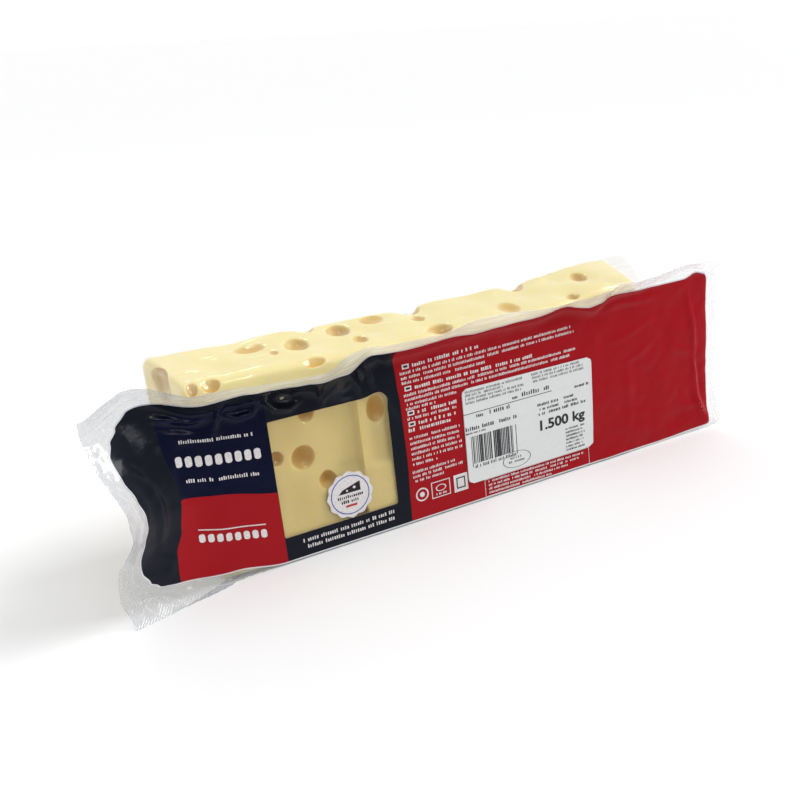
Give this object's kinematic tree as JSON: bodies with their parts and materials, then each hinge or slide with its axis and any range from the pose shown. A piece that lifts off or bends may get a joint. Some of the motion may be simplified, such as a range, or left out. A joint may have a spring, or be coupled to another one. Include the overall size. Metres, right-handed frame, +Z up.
{
  "type": "vacuum-packed cheese block",
  "caption": "Long rectangular block of cheese with eyes in a clear formed film, closed by a printed lid film with a wavy welded border and a weigh label; stands on its long side.",
  "frame": {"origin": "middle of the foot of the whole pack, on the surface it stands on", "axes": "+X along the pack's length towards its plain end, +Y from the lid towards the back, +Z up"},
  "size_m": [0.3868, 0.081, 0.1111],
  "materials": {
    "sealed_block": "pale yellow cheese seen through a tight clear film",
    "lid_film": "printed glossy film, red with a black and navy end, clear welded border",
    "weigh_label": "white coated paper with dark print"
  },
  "bodies": {
    "root": {"sealed_block": "sealed_block", "lid_film": "lid_film", "weigh_label": "weigh_label"}
  },
  "joints": []
}
